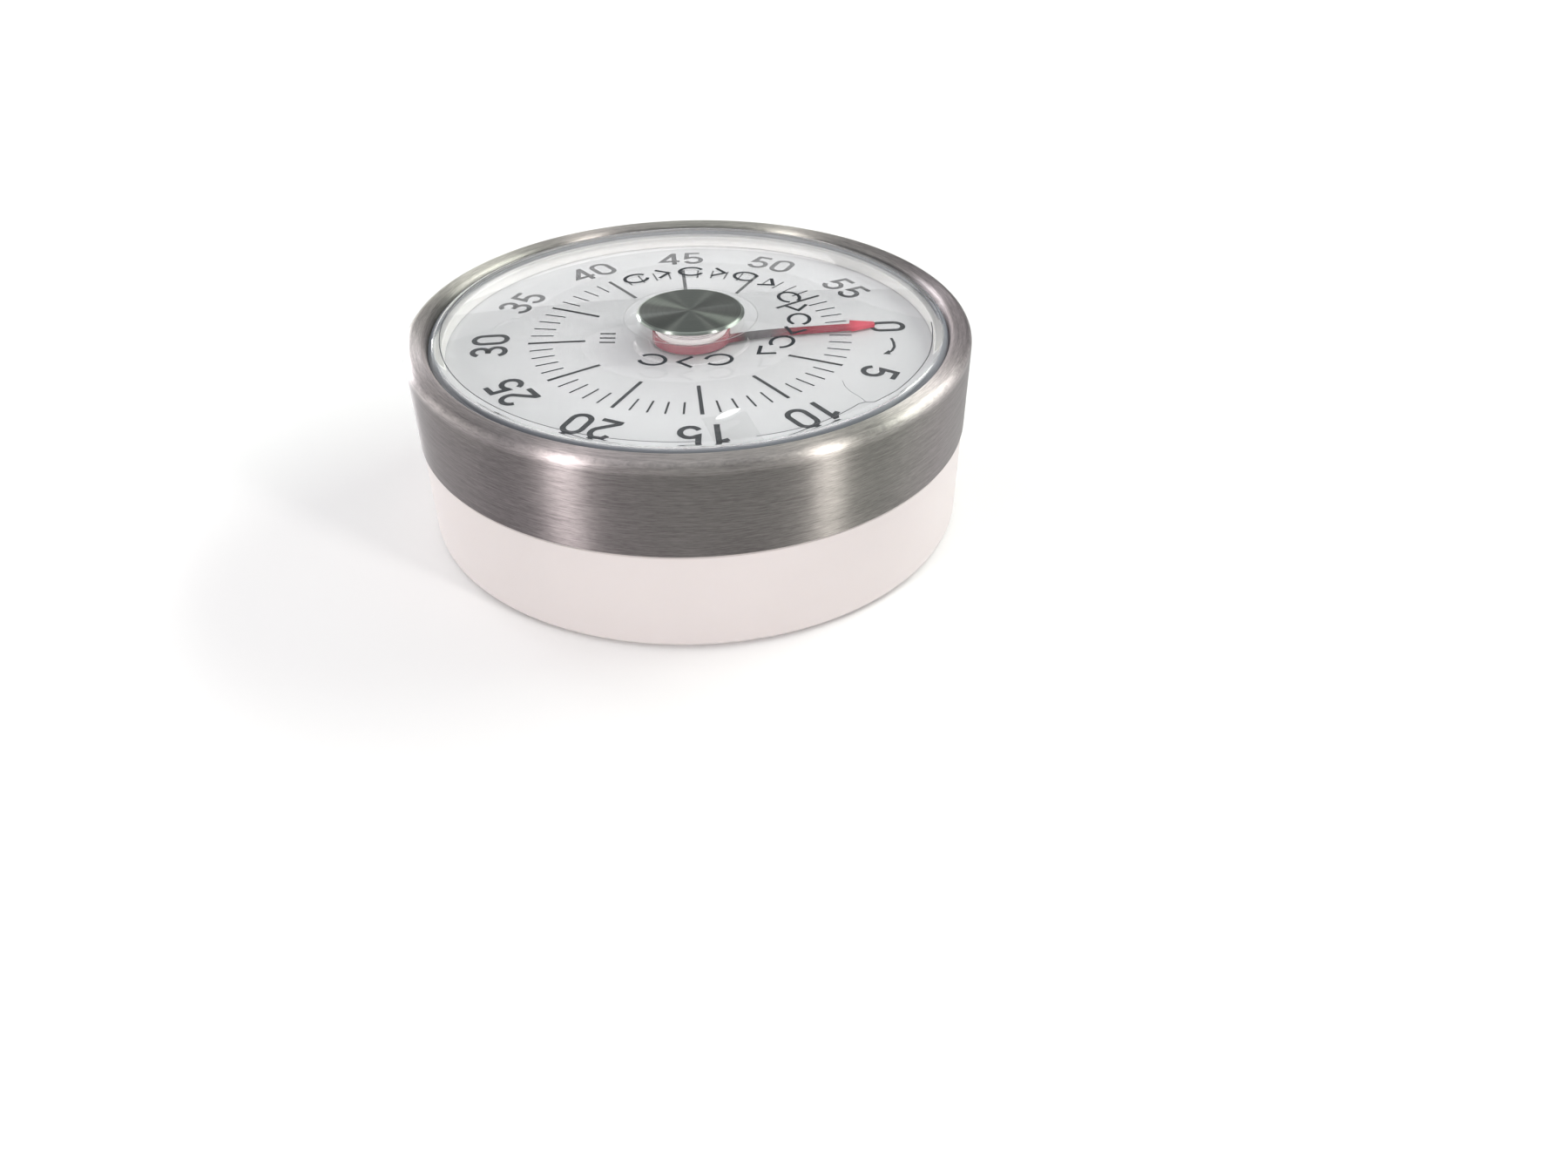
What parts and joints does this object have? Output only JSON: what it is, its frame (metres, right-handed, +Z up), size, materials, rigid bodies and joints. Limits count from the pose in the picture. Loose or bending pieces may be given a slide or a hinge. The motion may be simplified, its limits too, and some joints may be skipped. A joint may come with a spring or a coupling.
{
  "type": "kitchen timer",
  "caption": "Round mechanical kitchen timer: a brushed steel ring turns the pointer over a white dial under a clear window, on a flat plastic base with clockwork and a bell inside.",
  "frame": {"origin": "centre of the circle that the three feet stand on, in the plane of their undersides", "axes": "+Z up along the main arbor, +Y towards the dial's 0 mark, +X towards the 15 mark"},
  "size_m": [0.078, 0.078, 0.0289],
  "materials": {
    "white_plastic": "satin moulded ABS",
    "inner_plastic": "smooth moulded ABS",
    "dial_white": "printed plastic sheet",
    "rubber": "moulded rubber",
    "magnet": "nickel plated",
    "zinc_steel": "zinc plated",
    "blue_steel": "tempered spring steel",
    "bell_steel": "pressed steel",
    "brass_sheet": "stamped",
    "brass_wheel": "stamped and cut",
    "brushed_ring": "brushed round the ring",
    "spun_disc": "turned, concentric grain",
    "clear_window": "clear polystyrene",
    "clear_film": "thin protective film",
    "red_plastic": "moulded, glossy"
  },
  "bodies": {
    "case": {"base_shell": "white_plastic", "rubber_feet": "rubber", "magnets": "magnet", "case_screws": "zinc_steel", "dial_carrier": "inner_plastic", "dial_disc": "dial_white", "bottom_plate": "brass_sheet", "top_plate": "brass_sheet", "pillars": "zinc_steel", "pillar_screws": "zinc_steel", "movement_screws": "zinc_steel", "spring_drum": "zinc_steel", "mainspring": "blue_steel", "bell": "bell_steel", "bell_screw": "zinc_steel", "hammer_spring": "blue_steel"},
    "rotor": {"steel_ring": "brushed_ring", "rotor_ring": "inner_plastic", "window": "clear_window", "protective_film": "clear_film", "film_tab": "clear_film", "centre_disc": "spun_disc", "hub_screw": "zinc_steel", "pointer": "red_plastic", "main_arbor": "zinc_steel", "great_wheel": "brass_wheel", "ratchet_wheel": "zinc_steel", "click": "zinc_steel", "click_pin": "zinc_steel", "click_spring": "blue_steel", "alarm_cam": "brass_wheel"},
    "second_train": {"second_wheel": "brass_wheel", "second_pinion": "zinc_steel"},
    "third_train": {"third_wheel": "brass_wheel", "third_pinion": "zinc_steel", "star_wheel": "brass_wheel"},
    "escape_train": {"escape_wheel": "brass_wheel", "escape_pinion": "zinc_steel"},
    "balance": {"anchor": "zinc_steel", "pallet_pins": "zinc_steel", "balance_wheel": "brass_wheel", "balance_staff": "zinc_steel"},
    "hammer": {"hammer_arbor": "zinc_steel", "feeler_arm": "zinc_steel", "lifting_arm": "zinc_steel", "hammer_arm": "zinc_steel", "hammer_head": "brass_wheel"}
  },
  "joints": [
    {"name": "ring_turn", "type": "hinge", "parent": "case", "child": "rotor", "pos_m": [0, 0, 0.015], "axis": [0, 0, -1], "range_deg": [0, 360]},
    {"name": "second_spin", "type": "hinge", "parent": "case", "child": "second_train", "pos_m": [-0.01522, 0.00554, 0.015], "axis": [0, 0, -1], "range_deg": [-2880.5, 0.5]},
    {"name": "third_spin", "type": "hinge", "parent": "case", "child": "third_train", "pos_m": [-0.00867, 0.01462, 0.015], "axis": [0, 0, -1], "range_deg": [-0.5, 17280.5]},
    {"name": "escape_spin", "type": "hinge", "parent": "case", "child": "escape_train", "pos_m": [0.00054, 0.02099, 0.015], "axis": [0, 0, -1], "range_deg": [-103680.5, 0.5]},
    {"name": "balance_swing", "type": "hinge", "parent": "case", "child": "balance", "pos_m": [0.00798, 0.01943, 0.015], "axis": [0, 0, 1], "range_deg": [-3, 3]},
    {"name": "hammer_swing", "type": "hinge", "parent": "case", "child": "hammer", "pos_m": [-0.02076, 0.01565, 0.015], "axis": [0, 0, 1], "range_deg": [-1.5, 5]}
  ],
  "couplings": [
    {"joint": "second_spin", "follows": "ring_turn", "ratio": -8},
    {"joint": "third_spin", "follows": "ring_turn", "ratio": 48},
    {"joint": "escape_spin", "follows": "ring_turn", "ratio": -288}
  ]
}
